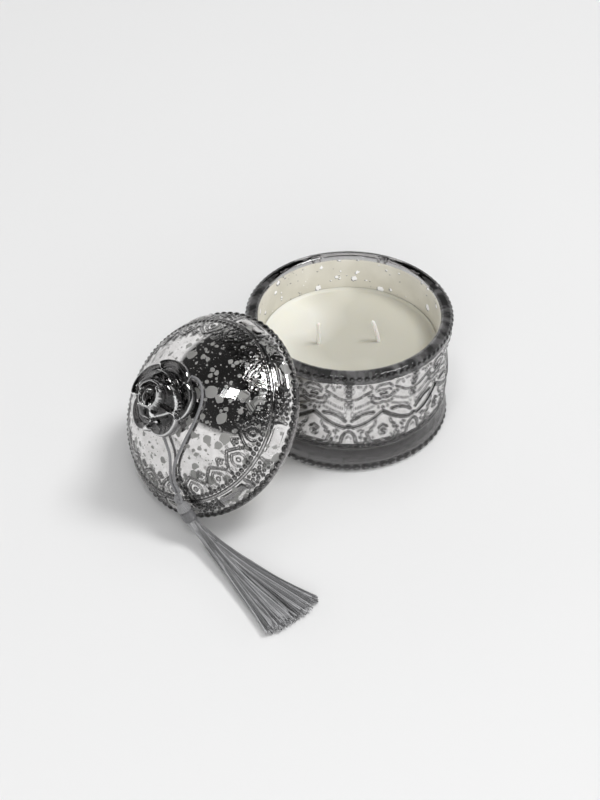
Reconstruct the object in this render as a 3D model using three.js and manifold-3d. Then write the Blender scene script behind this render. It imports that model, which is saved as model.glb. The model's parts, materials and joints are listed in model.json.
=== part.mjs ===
// A pressed-glass candle jar with a silvered lining, its domed lid leaning on the jar's rim,
// and a silk tassel looped round the lid's flower knob.
// Millimetres, +Z up. The origin is the middle of the jar's flat base.
import * as THREE from 'three';
import { mergeVertices } from 'three/addons/utils/BufferGeometryUtils.js';
import Module from 'manifold-3d';

const wasm = await Module();
wasm.setup();

// ---- clearances ----
const GAP = 0.3; // between two pieces that touch
const COAT = 0.5; // thickness of the silver and lacquer coat
const LIP_CLEARANCE = 0.7; // between the lid's locating ring and the jar's lining

// ---- jar ----
const JAR_HEIGHT = 60.6;
const RIM_RADIUS = 50; // outside of the beaded ring round the mouth
const RIM_RING = 1.9; // radius of that ring's section
const RIM_RING_DROP = 3.6; // from the crest down to the ring's middle
const CREST_FILLET = 1.2;
const CREST_SET = 1.5; // how far the crest's outer corner is set in from the ring
const WALL_SET = 2.4; // how far the wall above the foot is set in from the ring
const BELLY = 0.5; // how far the patterned zone stands proud of the wall
const BELLY_SHARE = 0.4; // where the belly is, of the height from the foot to the rim's ring
const WAIST_SHARE = 0.7; // where the wall is back at its own radius, of the same height
const RIM_WIDTH = 6.1; // of the glass at the mouth
const BASE_THICKNESS = 10;
const INNER_CORNER = 4;
const FOOT_SET = 0.9; // how far the beaded foot is set in from the ring
const FOOT_RING = 2.2; // radius of the foot's section
const FOOT_RING_HEIGHT = 4;
const FOOT_HEIGHT = 6.8;
const LEDGE_WIDTH = 0.5; // the step from the foot to the wall
const LEDGE_HEIGHT = 1.2;
const LINING_DROP = 2.1; // from the crest down to the lining's edge
const WALL_RADIUS = RIM_RADIUS - WALL_SET;
const FOOT_RADIUS = RIM_RADIUS - FOOT_SET;
const MOUTH_RADIUS = RIM_RADIUS - RIM_WIDTH;

// ---- wax and wicks ----
const WAX_DROP = 19.6; // from the crest down to the wax
const MENISCUS = 1.2; // radius of the wax's fillet up the lining
const WICK_SPACING = 29;
const WICK_LINE = 55; // degrees from +X
const WICK_RADIUS = 1;
const WICK_PROUD = 13; // above the wax
const TAB_RADIUS = 8;
const TAB_THICKNESS = 0.4;
const COLLAR_RADIUS = 2.3;
const COLLAR_HEIGHT = 4;
const STICKER_RADIUS = 7;
const STICKER_THICKNESS = 0.6;
const WICK_SIDES = 12;
const TAB_SIDES = 16; // of the tabs, the stickers and their room in the wax
const WAX_TOP = JAR_HEIGHT - WAX_DROP;

// ---- lid, in its own frame: w runs along its axis from the rim's underside ----
const LID_SET = 0.6; // how far the lid's edge is set in from the jar's ring
const LID_RADIUS = RIM_RADIUS - LID_SET;
const LID_BEAD = 1.5; // radius of the beaded edge's section
const DOME_HEIGHT = 35.5; // above the beaded edge, to the point where its curve would close
const DOME_POWER = 1.56; // superellipse power of the outside: nearly conical at the crown
const CROWN_THICKNESS = 7.5; // how much lower the hollow is than the outside, in the middle
const HOLLOW_HEIGHT = DOME_HEIGHT - CROWN_THICKNESS;
const HOLLOW_POWER = 2.2;
const HOLLOW_START = 4; // the hollow is straight up to here
const LIP_DEPTH = 8; // the locating ring below the rim
const LIP_WALL = 4;
const LID_LINING_START = -6;
const NECK_RADIUS = 9;
const CORD_DIAMETER = 1.5;
const CORD_ROOM = 2.8; // between the dome and the petals above it
const CORD_SIDES = 8;
const CORD_STEPS = 76;
const PETAL_RADIUS = 18.5;
const PETAL_EDGE = 2; // from the petals' underside up to where they are widest
const PETAL_ROUNDING = 0.8; // how far the underside's edge is set in
const PETAL_HEIGHT = 6.7; // above the widest part
const PETAL_POWER = 2.4; // superellipse power of the petals' outline
const PETAL_COUNT = 5;
const PETAL_DEPTH = 0.08; // depth of the notch between two petals, of the radius
const NOTCH_START = 10.8; // the notches reach in to this radius
const BUD_RADIUS = 6.8;
const BUD_TOP = 54.8;

// ---- where the lid leans and where the tassel lies ----
const LEAN_SET = 1.4; // how far inside the jar's ring the locating ring meets the crest
const CORD_ROUTE = [ // middle of the cord in the lid's frame: from the knot, round the neck, and back
  [19.6, -35.4, 19.8], [17.1, -32.4, 23.3], [15.9, -28.2, 26.6], [15.2, -24.2, 29.2],
  [13.9, -20.3, 31.6], [11.2, -17.2, 33.7], [7.8, -14.2, 35.6], [2.6, -11.9, 37.1],
  [-4.0, -10.6, 37.3], [-9.4, -5.4, 37.5], [-10.9, 1.6, 37.5], [-8.4, 8.0, 37.3],
  [-2.6, 12.0, 37.0], [3.0, 14.6, 36.1], [8.2, 15.8, 34.9], [12.8, 13.4, 34.6],
  [16.2, 9.2, 34.5], [18.2, 3.4, 34.6], [19.0, -2.8, 34.3], [18.8, -9.6, 33.4],
  [18.2, -16.4, 31.6], [17.4, -22.4, 29.3], [17.8, -27.8, 26.2], [19.1, -31.7, 23.0],
  [21.4, -34.0, 20.1],
];
const KNOT_ANGLE = -58.8; // degrees round the lid's axis
const KNOT_REACH = 0.871; // from the lid's axis, of the lid's radius
const KNOT_LIFT = 0.087; // above the dome, along the lid's axis, of the lid's radius
const KNOT_RADIUS = 2.2;
const TASSEL_DROP = [0.47, -0.52, -0.713]; // from the knot towards the threads, in the lid's frame
const HEAD_RADIUS = 2.8;
const HEAD_LENGTH = 4;
const BAND_RADIUS = 3.3;
const BAND_LENGTH = 5;
const SKIRT_LENGTH = 71; // along the table, from the root to the threads' ends
const SKIRT_SPREAD = 31; // width at the threads' ends
const SKIRT_THICKNESS = 4.4;
const SKIRT_ROOT_RADIUS = 3.3;
const SKIRT_HEADING = 3.5; // degrees from +X towards +Y
const SKIRT_SAG = [ // middle of the threads: share of the length, share of the root's height
  [0.24, 0.4], [0.55, 0.05], [1, 0],
];
const SKIRT_FLAT = 0.45; // share of the length after which the threads lie flat
const SKIRT_FLARE = 1.15; // power of the growth in width along the threads
const SKIRT_STEPS = 9;
const TASSEL_SIDES = 14;

const TURN = 48; // facets round the jar and the lid
const DOME_STEPS = 14;
const HOLLOW_STEPS = 8;
const LEAN_STEPS = 40; // halvings in the search for the angle of the lid

// ---- looks ----
const look = (color, roughness, metalness) => () => (
  new THREE.MeshStandardMaterial({ color, roughness, metalness }));
const smokeGlass = look(0x55555a, 0.06, 0.1);
const silver = look(0xc9c8c6, 0.14, 1);
const waxWhite = look(0xf1efe4, 0.55, 0);
const cotton = look(0xf6f4ee, 0.9, 0);
const tin = look(0xb5b7ba, 0.35, 1);
const foam = look(0xf0f0ec, 0.85, 0);
const silk = look(0x7a7a7d, 0.5, 0);

// ---- helpers ----
const point = (radius, height) => new THREE.Vector2(radius, height);

// Points on an arc of a profile; angles in degrees from the radial direction, towards +Z.
function arc(radius, height, size, from, to, steps) {
  return Array.from({ length: steps + 1 }, (_, i) => {
    const angle = THREE.MathUtils.degToRad(from + (to - from) * i / steps);
    return point(radius + size * Math.cos(angle), height + size * Math.sin(angle));
  });
}

// Points down a superellipse, from its crown at the axis to its full radius at the bottom.
function superellipse(radius, bottom, height, power, steps) {
  return Array.from({ length: steps + 1 }, (_, i) => {
    const angle = Math.PI / 2 * (1 - i / steps);
    const across = Math.cos(angle) ** (2 / power);
    const up = Math.sin(angle) ** (2 / power);
    return point(i === 0 ? 0 : radius * across, bottom + height * up);
  });
}

function revolve(profile, sides = TURN) {
  const geometry = new THREE.LatheGeometry(profile, sides);
  geometry.rotateX(Math.PI / 2);
  return weld(geometry);
}

// Merges shared vertices and drops the flat triangles that a profile leaves on the axis.
function weld(geometry) {
  geometry.deleteAttribute('normal');
  geometry.deleteAttribute('uv');
  const merged = mergeVertices(geometry, 1e-4);
  const kept = [];
  const index = merged.index.array;
  for (let i = 0; i < index.length; i += 3) {
    const [a, b, c] = index.slice(i, i + 3);
    if (a !== b && b !== c && c !== a) kept.push(a, b, c);
  }
  merged.setIndex(kept);
  return merged;
}

function toManifold(geometry) {
  return new wasm.Manifold(new wasm.Mesh({
    numProp: 3,
    vertProperties: new Float32Array(geometry.attributes.position.array),
    triVerts: new Uint32Array(geometry.index.array),
  }));
}

function fromManifold(solid) {
  const { vertProperties, triVerts } = solid.getMesh();
  const geometry = new THREE.BufferGeometry();
  geometry.setAttribute('position', new THREE.BufferAttribute(vertProperties, 3));
  geometry.setIndex(new THREE.BufferAttribute(triVerts, 1));
  return geometry;
}

// A closed skin through rings of points, each ring the same number of points, with flat ends.
function loft(rings) {
  const sides = rings[0].length;
  const middles = [rings[0], rings[rings.length - 1]].map(
    (ring) => ring.reduce((sum, p) => sum.add(p), new THREE.Vector3()).divideScalar(sides));
  const points = [...rings.flat(), ...middles];
  const firstEnd = points.length - 2;
  const lastEnd = points.length - 1;
  const lastRing = (rings.length - 1) * sides;
  const index = [];
  for (let side = 0; side < sides; side++) {
    const next = (side + 1) % sides;
    for (let r = 0; r < rings.length - 1; r++) {
      const here = r * sides;
      const there = here + sides;
      index.push(here + side, here + next, there + next, here + side, there + next, there + side);
    }
    index.push(firstEnd, next, side, lastEnd, lastRing + side, lastRing + next);
  }
  const geometry = new THREE.BufferGeometry().setFromPoints(points);
  geometry.setIndex(index);
  return geometry;
}

const group = new THREE.Group();

function add(name, geometry, material, parent = group) {
  const mesh = new THREE.Mesh(geometry, material);
  mesh.name = name;
  parent.add(mesh);
  return mesh;
}

// ---- jar ----
function jarGlass() {
  const ringMiddle = JAR_HEIGHT - RIM_RING_DROP;
  const wall = new THREE.SplineCurve([
    point(WALL_RADIUS, FOOT_HEIGHT + LEDGE_HEIGHT),
    point(WALL_RADIUS + BELLY, THREE.MathUtils.lerp(FOOT_HEIGHT, ringMiddle, BELLY_SHARE)),
    point(WALL_RADIUS, THREE.MathUtils.lerp(FOOT_HEIGHT, ringMiddle, WAIST_SHARE)),
    point(RIM_RADIUS - RIM_RING / 2, ringMiddle - 1.5 * RIM_RING),
  ]);
  const crestOutside = RIM_RADIUS - CREST_SET;
  return revolve([
    point(0, 0),
    point(FOOT_RADIUS - FOOT_RING, 0),
    ...arc(FOOT_RADIUS - FOOT_RING, FOOT_RING_HEIGHT, FOOT_RING, -60, 60, 4),
    point(WALL_RADIUS + LEDGE_WIDTH, FOOT_HEIGHT),
    ...wall.getPoints(7),
    ...arc(RIM_RADIUS - RIM_RING, ringMiddle, RIM_RING, -40, 55, 4),
    ...arc(crestOutside - CREST_FILLET, JAR_HEIGHT - CREST_FILLET, CREST_FILLET, 30, 90, 2),
    ...arc(MOUTH_RADIUS + CREST_FILLET, JAR_HEIGHT - CREST_FILLET, CREST_FILLET, 90, 180, 2),
    ...arc(MOUTH_RADIUS - INNER_CORNER, BASE_THICKNESS + INNER_CORNER, INNER_CORNER, 0, -90, 3),
    point(0, BASE_THICKNESS),
  ]);
}

// A coat on the jar's inside: wall, rounded corner and floor.
function jarLining() {
  const outside = MOUTH_RADIUS - GAP;
  const top = JAR_HEIGHT - LINING_DROP;
  const corner = INNER_CORNER - GAP;
  const floor = BASE_THICKNESS + GAP;
  return revolve([
    point(0, floor),
    ...arc(outside - corner, floor + corner, corner, -90, 0, 3),
    point(outside, top),
    point(outside - COAT, top),
    ...arc(outside - corner, floor + corner, corner - COAT, 0, -90, 3),
    point(0, floor + COAT),
  ]);
}

const LINING_INSIDE = MOUTH_RADIUS - GAP - COAT;
const LINING_FLOOR = BASE_THICKNESS + GAP + COAT;
const STICKER_BOTTOM = LINING_FLOOR + GAP;
const TAB_BOTTOM = STICKER_BOTTOM + STICKER_THICKNESS + GAP;
const TAB_TOP = TAB_BOTTOM + TAB_THICKNESS;
const COLLAR_TOP = TAB_TOP + COLLAR_HEIGHT;

// The room that a wick, its tab and its sticker take in the wax, open at both ends.
function wickCavity(place) {
  const geometry = revolve([
    point(0, LINING_FLOOR),
    point(TAB_RADIUS + GAP, LINING_FLOOR),
    point(TAB_RADIUS + GAP, TAB_TOP + GAP),
    point(COLLAR_RADIUS + GAP, TAB_TOP + GAP),
    point(COLLAR_RADIUS + GAP, COLLAR_TOP + GAP),
    point(WICK_RADIUS + GAP, COLLAR_TOP + GAP),
    point(WICK_RADIUS + GAP, WAX_TOP + WICK_PROUD),
    point(0, WAX_TOP + WICK_PROUD),
  ], TAB_SIDES);
  geometry.translate(place.x, place.y, 0);
  return geometry;
}

function waxPool(places) {
  const radius = LINING_INSIDE - GAP;
  const corner = INNER_CORNER - COAT - GAP;
  const bottom = LINING_FLOOR + GAP;
  const blank = revolve([
    point(0, bottom),
    ...arc(radius - corner, bottom + corner, corner, -90, 0, 3),
    ...arc(radius - MENISCUS, WAX_TOP + MENISCUS, MENISCUS, 0, -90, 3),
    point(0, WAX_TOP),
  ]);
  return fromManifold(places.reduce(
    (solid, place) => solid.subtract(toManifold(wickCavity(place))), toManifold(blank)));
}

function addWick(side, place) {
  const wickTop = WAX_TOP + WICK_PROUD;
  const wick = revolve([
    point(0, TAB_BOTTOM),
    point(WICK_RADIUS, TAB_BOTTOM),
    point(WICK_RADIUS, wickTop - WICK_RADIUS / 2),
    point(WICK_RADIUS / 2, wickTop),
    point(0, wickTop),
  ], WICK_SIDES);
  const bore = WICK_RADIUS + GAP;
  const tab = revolve([
    point(bore, TAB_BOTTOM),
    point(TAB_RADIUS, TAB_BOTTOM),
    point(TAB_RADIUS, TAB_TOP),
    point(COLLAR_RADIUS, TAB_TOP),
    point(COLLAR_RADIUS, COLLAR_TOP),
    point(bore, COLLAR_TOP),
    point(bore, TAB_BOTTOM),
  ], TAB_SIDES);
  const sticker = new THREE.CylinderGeometry(
    STICKER_RADIUS, STICKER_RADIUS, STICKER_THICKNESS, TAB_SIDES);
  sticker.rotateX(Math.PI / 2);
  sticker.translate(0, 0, STICKER_BOTTOM + STICKER_THICKNESS / 2);
  const pieces = [['wick', wick, cotton()], ['wick_tab', tab, tin()], ['wick_sticker', sticker, foam()]];
  for (const [name, geometry, material] of pieces) {
    add(`${name}_${side}`, geometry, material).position.set(place.x, place.y, 0);
  }
}

const wickDirection = new THREE.Vector2(1, 0).rotateAround(
  new THREE.Vector2(), THREE.MathUtils.degToRad(WICK_LINE));
const wickPlaces = {
  left: wickDirection.clone().multiplyScalar(-WICK_SPACING / 2),
  right: wickDirection.clone().multiplyScalar(WICK_SPACING / 2),
};

add('jar_glass', jarGlass(), smokeGlass());
add('jar_lining', jarLining(), silver());
add('wax', waxPool(Object.values(wickPlaces)), waxWhite());
for (const [side, place] of Object.entries(wickPlaces)) addWick(side, place);

// ---- lid ----
const LIP_OUTSIDE = LINING_INSIDE - LIP_CLEARANCE;
const LIP_INSIDE = LIP_OUTSIDE - LIP_WALL;
const DOME_START = 2 * LID_BEAD;

const domeHeightAt = (radius) => DOME_START
  + DOME_HEIGHT * (1 - (radius / LID_RADIUS) ** DOME_POWER) ** (1 / DOME_POWER);

// The dome's inside or a surface a little way in from it, from the crown to the mouth's edge.
function hollow(inset, bottom) {
  return [
    ...superellipse(LIP_INSIDE - inset, HOLLOW_START, HOLLOW_HEIGHT - inset, HOLLOW_POWER, HOLLOW_STEPS),
    point(LIP_INSIDE - inset, bottom),
  ];
}

// Notches between the petals of the knob. Their underside keeps its distance from the dome.
function pressPetals(geometry) {
  const position = geometry.attributes.position;
  for (let i = 0; i < position.count; i++) {
    const x = position.getX(i);
    const y = position.getY(i);
    const z = position.getZ(i);
    const radius = Math.hypot(x, y);
    const isOverDome = radius < LID_RADIUS && z > domeHeightAt(radius) + CORD_ROOM / 2;
    if (isOverDome && radius > NOTCH_START) {
      const notch = 1 - PETAL_DEPTH * (0.5 - 0.5 * Math.cos(PETAL_COUNT * Math.atan2(y, x)));
      const rise = domeHeightAt(radius * notch) - domeHeightAt(radius);
      position.setXYZ(i, x * notch, y * notch, z + rise);
    }
  }
  return geometry;
}

// The knob from its neck up: the petals' underside, their rounded top and the bud in the middle.
function knobProfile() {
  const petalBottom = domeHeightAt(PETAL_RADIUS) + CORD_ROOM;
  const widest = petalBottom + PETAL_EDGE;
  const petals = superellipse(PETAL_RADIUS, widest, PETAL_HEIGHT, PETAL_POWER, DOME_STEPS)
    .filter((p) => p.x > BUD_RADIUS)
    .reverse();
  return [
    point(NECK_RADIUS, domeHeightAt(NECK_RADIUS)),
    point(NECK_RADIUS, domeHeightAt(NECK_RADIUS) + CORD_ROOM),
    point(PETAL_RADIUS - PETAL_ROUNDING, petalBottom),
    ...petals,
    ...arc(0, BUD_TOP - BUD_RADIUS, BUD_RADIUS, 0, 60, 3),
    point(0, BUD_TOP),
  ];
}

function lidGlass() {
  const dome = superellipse(LID_RADIUS, DOME_START, DOME_HEIGHT, DOME_POWER, DOME_STEPS)
    .filter((p) => p.x > NECK_RADIUS)
    .reverse();
  return pressPetals(revolve([
    ...hollow(0, -LIP_DEPTH),
    point(LIP_OUTSIDE, -LIP_DEPTH),
    point(LIP_OUTSIDE, 0),
    ...arc(LID_RADIUS - LID_BEAD, LID_BEAD, LID_BEAD, -90, 45, 3),
    ...dome,
    ...knobProfile(),
  ]));
}

function lidLining() {
  return revolve([
    ...hollow(GAP + COAT, LID_LINING_START),
    ...hollow(GAP, LID_LINING_START).reverse(),
  ]);
}

// The angle at which the lid, with its edge on the table, rests its locating ring on the jar's crest.
function leanAngle() {
  const centreHeight = (tilt) => GAP + Math.max(
    LID_RADIUS * Math.sin(tilt),
    LIP_OUTSIDE * Math.sin(tilt) + LIP_DEPTH * Math.cos(tilt));
  const ringHeight = (tilt) => centreHeight(tilt)
    + LIP_INSIDE * Math.sin(tilt) - LIP_DEPTH * Math.cos(tilt);
  let low = 0;
  let high = Math.PI / 2;
  for (let i = 0; i < LEAN_STEPS; i++) {
    const middle = (low + high) / 2;
    if (ringHeight(middle) < JAR_HEIGHT + GAP) low = middle;
    else high = middle;
  }
  return { tilt: high, height: centreHeight(high) };
}

const { tilt, height: lidHeight } = leanAngle();
const lidReach = RIM_RADIUS - LEAN_SET + LIP_INSIDE * Math.cos(tilt) + LIP_DEPTH * Math.sin(tilt);
const lid = new THREE.Group();
lid.position.set(0, -lidReach, lidHeight);
lid.rotation.x = tilt;
group.add(lid);
add('lid_glass', lidGlass(), smokeGlass(), lid);
add('lid_lining', lidLining(), silver(), lid);

// ---- tassel ----
function cordLoop() {
  const curve = new THREE.CatmullRomCurve3(
    CORD_ROUTE.map((p) => new THREE.Vector3(...p)), false, 'centripetal');
  const section = new THREE.Shape(Array.from({ length: CORD_SIDES }, (_, i) => new THREE.Vector2(
    Math.cos(2 * Math.PI * i / CORD_SIDES), Math.sin(2 * Math.PI * i / CORD_SIDES),
  ).multiplyScalar(CORD_DIAMETER / 2)));
  return weld(new THREE.ExtrudeGeometry(section, { steps: CORD_STEPS, extrudePath: curve }));
}

// The middle of the knot, a little above the dome.
function knotPlace() {
  const radius = KNOT_REACH * LID_RADIUS;
  const angle = THREE.MathUtils.degToRad(KNOT_ANGLE);
  const place = new THREE.Vector3(
    radius * Math.cos(angle), radius * Math.sin(angle), domeHeightAt(radius) + KNOT_LIFT * LID_RADIUS);
  lid.updateMatrixWorld(true);
  return place.applyMatrix4(lid.matrixWorld);
}

// A turned piece whose own +Z points along the tassel.
function addAlong(name, geometry, place, direction) {
  const mesh = add(name, geometry, silk());
  mesh.position.copy(place);
  mesh.quaternion.setFromUnitVectors(new THREE.Vector3(0, 0, 1), direction);
}

function ball(radius) {
  return revolve([point(0, -radius), ...arc(0, 0, radius, -60, 60, 4), point(0, radius)], TASSEL_SIDES);
}

// The threads: a round bunch at the band that spreads into a flat fan on the table.
function skirt(start, drop) {
  const heading = THREE.MathUtils.degToRad(SKIRT_HEADING);
  const along = new THREE.Vector3(Math.cos(heading), Math.sin(heading), 0);
  const across = new THREE.Vector3(-Math.sin(heading), Math.cos(heading), 0);
  const tipHeight = GAP + SKIRT_THICKNESS / 2;
  const sag = new THREE.CatmullRomCurve3([
    start,
    start.clone().addScaledVector(drop, SKIRT_ROOT_RADIUS / 2),
    ...SKIRT_SAG.map(([share, height]) => start.clone()
      .addScaledVector(along, SKIRT_LENGTH * share)
      .setZ(THREE.MathUtils.lerp(tipHeight, start.z, height))),
  ]);
  return loft(Array.from({ length: SKIRT_STEPS + 1 }, (_, i) => {
    const t = i / SKIRT_STEPS;
    const middle = sag.getPointAt(t);
    const forward = sag.getTangentAt(t);
    const side = across.clone().projectOnPlane(forward).normalize();
    const up = new THREE.Vector3().crossVectors(forward, side);
    const flat = Math.min(1, t / SKIRT_FLAT);
    const wide = THREE.MathUtils.lerp(SKIRT_ROOT_RADIUS, SKIRT_SPREAD / 2, t ** SKIRT_FLARE);
    const thick = THREE.MathUtils.lerp(SKIRT_ROOT_RADIUS, SKIRT_THICKNESS / 2, flat);
    return Array.from({ length: TASSEL_SIDES }, (_ignored, k) => {
      const angle = 2 * Math.PI * k / TASSEL_SIDES;
      const p = middle.clone()
        .addScaledVector(side, wide * Math.cos(angle))
        .addScaledVector(up, thick * Math.sin(angle));
      p.z = Math.max(p.z, GAP);
      return p;
    });
  }));
}

// The tassel's head: round at the cord, straight where the threads leave it.
function tasselHead() {
  return revolve([
    point(0, 0),
    ...arc(0, HEAD_RADIUS, HEAD_RADIUS, -60, 0, 3),
    point(HEAD_RADIUS, HEAD_LENGTH),
    point(0, HEAD_LENGTH),
  ], TASSEL_SIDES);
}

function neckBand() {
  const geometry = new THREE.CylinderGeometry(BAND_RADIUS, BAND_RADIUS, BAND_LENGTH, TASSEL_SIDES);
  geometry.rotateX(Math.PI / 2);
  geometry.translate(0, 0, BAND_LENGTH / 2);
  return geometry;
}

const knot = knotPlace();
const drop = new THREE.Vector3(...TASSEL_DROP).transformDirection(lid.matrixWorld);
const headStart = knot.clone().addScaledVector(drop, KNOT_RADIUS + GAP);
const bandStart = headStart.clone().addScaledVector(drop, HEAD_LENGTH + GAP);
const skirtStart = bandStart.clone().addScaledVector(drop, BAND_LENGTH + GAP);
add('tassel_cord', cordLoop(), silk(), lid);
addAlong('tassel_knot', ball(KNOT_RADIUS), knot, drop);
addAlong('tassel_head', tasselHead(), headStart, drop);
addAlong('tassel_band', neckBand(), bandStart, drop);
add('tassel_skirt', skirt(skirtStart, drop), silk());

export default group;
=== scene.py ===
"""The looks of a pressed-glass candle jar: its silvered lining, its leaning lid and the lid's silk tassel.

Sizes are in millimetres, and meshes are made in metres. Angles are in degrees in the constants and in
radians in the functions, unless a comment says otherwise.
The jar stands on the origin. The lid's pieces are made in the lid's own frame: x, y across it and w along
its axis from the underside of its rim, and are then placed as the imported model's joint says.
"""

import json
import math

import bpy
import numpy as np
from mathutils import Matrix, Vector


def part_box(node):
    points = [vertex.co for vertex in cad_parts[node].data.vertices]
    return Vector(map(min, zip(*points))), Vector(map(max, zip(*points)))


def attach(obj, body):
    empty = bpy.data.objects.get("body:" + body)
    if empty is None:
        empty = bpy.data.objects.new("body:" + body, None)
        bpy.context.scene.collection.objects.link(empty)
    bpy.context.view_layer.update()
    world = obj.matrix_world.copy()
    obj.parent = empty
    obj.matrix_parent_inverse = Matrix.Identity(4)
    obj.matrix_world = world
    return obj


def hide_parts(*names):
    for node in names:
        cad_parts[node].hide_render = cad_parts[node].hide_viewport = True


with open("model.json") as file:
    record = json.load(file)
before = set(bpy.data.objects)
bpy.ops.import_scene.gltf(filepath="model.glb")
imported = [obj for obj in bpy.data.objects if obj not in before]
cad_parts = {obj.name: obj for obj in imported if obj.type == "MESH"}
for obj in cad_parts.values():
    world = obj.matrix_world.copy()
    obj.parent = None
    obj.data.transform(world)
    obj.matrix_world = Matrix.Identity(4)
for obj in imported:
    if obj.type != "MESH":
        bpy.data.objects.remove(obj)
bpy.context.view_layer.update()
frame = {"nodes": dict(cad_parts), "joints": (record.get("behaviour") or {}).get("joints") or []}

MM = 0.001
FULL_TURN = 2 * math.pi
GAP = 0.3  # between two pieces that touch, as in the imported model
rng = np.random.default_rng(7)

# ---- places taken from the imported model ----
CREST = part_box("jar_glass")[1].z / MM  # the jar's height
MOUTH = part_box("jar_lining")[1].x / MM + GAP  # radius of the glass's inner wall
LINING_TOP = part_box("jar_lining")[1].z / MM
WAX_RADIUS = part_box("wax")[1].x / MM
MENISCUS = 1.2
WAX_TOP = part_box("wax")[1].z / MM - MENISCUS
WICK_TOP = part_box("wick_left")[1].z / MM
LID_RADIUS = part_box("lid_glass")[1].x / MM
HOLLOW_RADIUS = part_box("lid_lining")[1].x / MM + GAP


def joint(name):
    return next(j for j in frame["joints"] if j["name"] == name)


def middle(name):
    """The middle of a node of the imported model."""
    low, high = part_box(name)
    return np.array((low + high) / 2) / MM


# ---- the jar's sizes ----
BASE = 10  # thickness of the solid bottom
INNER_CORNER = 4
# Rows of beads: how many, height, bead radius, radius of the row, height above the wall.
FOOT_BEADS = (68, 2.7, 1.75, 48.2, 1.4)
RIM_BEADS = (90, 58.5, 1.2, 49.4, 0.6)
LEDGE_TOP = 7
BAND_TOP = 14.6  # the plain band ends and the pattern starts
PLAIN_BAND_RADIUS = 47.4
PATTERN_TOP = 56
FACETS = 36  # round the plain band
FACET_START = 4  # degrees from +X to an edge between two facets
FACET_DEPTH = 2.5  # as a share of a true flat's
FACET_ENDS = (1.5, 0.8)  # heights over which the facets fade in at the ledge and out at the pattern
REPEATS = 9  # of the pattern, round the jar and round the lid
SEAM = -39.5  # direction of one of the jar's mirror lines
JAR_COLUMNS = 64 * REPEATS
COLUMN_ARC = FULL_TURN / JAR_COLUMNS * 48  # distance between two columns of points on the wall
WALL_ARC = 47.8 * math.radians(1)  # length of one degree of the wall
JAR_UNDERSIDE = [(0.6, 0), (25, 0), (45, 0), (46.8, 0)]  # radius, height
JAR_OUTSIDE = [
    (47.9, 0), (47.7, 1.5), (47.7, 4), (48.6, 5.4), (48.4, 6.3), (47.5, 7.0), (47.4, 9), (47.4, 13),
    (47.8, 20), (48.1, 27), (47.9, 33), (47.4, 39), (47.4, 43), (48.0, 47), (49.0, 52), (49.3, 55),
    (49.4, 57.5), (49.45, 59.0), (49.2, 59.8),
]
JAR_CREST = [
    (48.9, 60.1), (48.2, 60.4), (47.3, 60.55), (46.2, CREST), (45.2, 60.5), (44.5, 60.1),
    (MOUTH + 0.1, 59.5), (MOUTH, 58.6), (MOUTH, 57), (MOUTH, 30), (MOUTH, BASE + INNER_CORNER),
]
JAR_ROWS = [  # rows of points up the outside: from, to and the distance between them
    (0.5, 5.4, 0.4), (5.6, 7.4, 0.45), (7.7, BAND_TOP, 1.1), (BAND_TOP, PATTERN_TOP, 0.36),
    (PATTERN_TOP, 59.7, 0.4),
]
JAR_MIRROR_DEPTH = 0.8  # from the pattern's ground to the silver behind it
MIRROR_SPAN = (16.4, 55.2)  # heights between which the silver follows the pattern

# The jar's pattern over half a repeat: degrees from the mirror line and height above the table.
# Each stroke is (width, height above the wall, points).
JAR_STROKES = [
    (1.36, 0.50, [(2.6, 27.6), (8.5, 29.3), (14.5, 32.3), (18.3, 34.6), (20, 35.6)]),
    (1.04, 0.40, [(1.8, 31.6), (5, 33.8), (9, 35.5), (14.5, 35.9)]),
    (0.64, 0.25, [(13, 49.7), (8.7, 47), (5.1, 44.6), (0, 43.7)]),
    (0.56, 0.20, [(15, 39.6), (12.4, 38.6), (9.7, 37.6), (6, 36.6), (3, 35.0)]),
    (1.04, 0.35, [(4.3, 18), (3.5, 22), (1.7, 24.4), (0, 25.2)]),
    (0.56, 0.20, [(2.2, 18), (1.8, 20.6), (0, 22.0)]),
    (0.80, 0.30, [(15.6, 30.6), (14.6, 27.6), (12.6, 26.4), (13.4, 24.6), (10.4, 23.8), (11.6, 21.2),
                 (13.2, 18.2), (16.5, 17.6), (20, 17.9)]),
    (0.96, 0.35, [(0, 16.0), (4.6, 15.5), (7.6, 15.9), (10.2, 18.2), (12.8, 15.9), (16, 15.3), (20, 15.4)]),
    (0.96, 0.35, [(5.6, 17.2), (8.2, 15.8)]),
    (0.80, 0.35, [(17.4, 25.9), (20, 27.6)]),
    (0.72, 0.25, [(3.8, 35.6), (2.3, 33.8), (2.0, 36.6)]),
    (0.64, 0.25, [(4.4, 53.4), (6.8, 53.0)]),
    (0.72, 0.25, [(8.0, 50.6), (9.6, 54.0)]),
    (0.64, 0.25, [(11.2, 54.0), (13.2, 51.2)]),
    (0.72, 0.30, [(15.0, 50.2), (16.4, 52.4), (18.4, 53.2), (20, 53.0)]),
    (0.72, 0.30, [(13.4, 46.6), (14.6, 44.6), (17.0, 43.6), (20, 43.9)]),
    (0.64, 0.25, [(15.4, 48.6), (17.6, 49.6), (20, 49.2)]),
    (0.64, 0.25, [(13.2, 42.2), (15.4, 40.9), (18.0, 40.6), (20, 41.2)]),
    (0.64, 0.25, [(6.0, 21.4), (7.6, 20.6), (7.2, 22.2)]),
    (0.64, 0.25, [(5.4, 25.4), (7.4, 26.2)]),
    (0.64, 0.25, [(7.0, 23.8), (8.8, 25.4)]),
]
# Rows of beads: bead radius, distance between beads, height above the wall, points.
JAR_BEAD_ROWS = [
    (0.42, 1.05, 0.25, [(14.9, 43.4), (8.7, 40.6), (3.8, 38.9), (0, 38.5)]),
    (0.30, 0.95, 0.15, [(4, 30.2), (9, 32.4), (14, 34.4)]),
]
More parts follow.
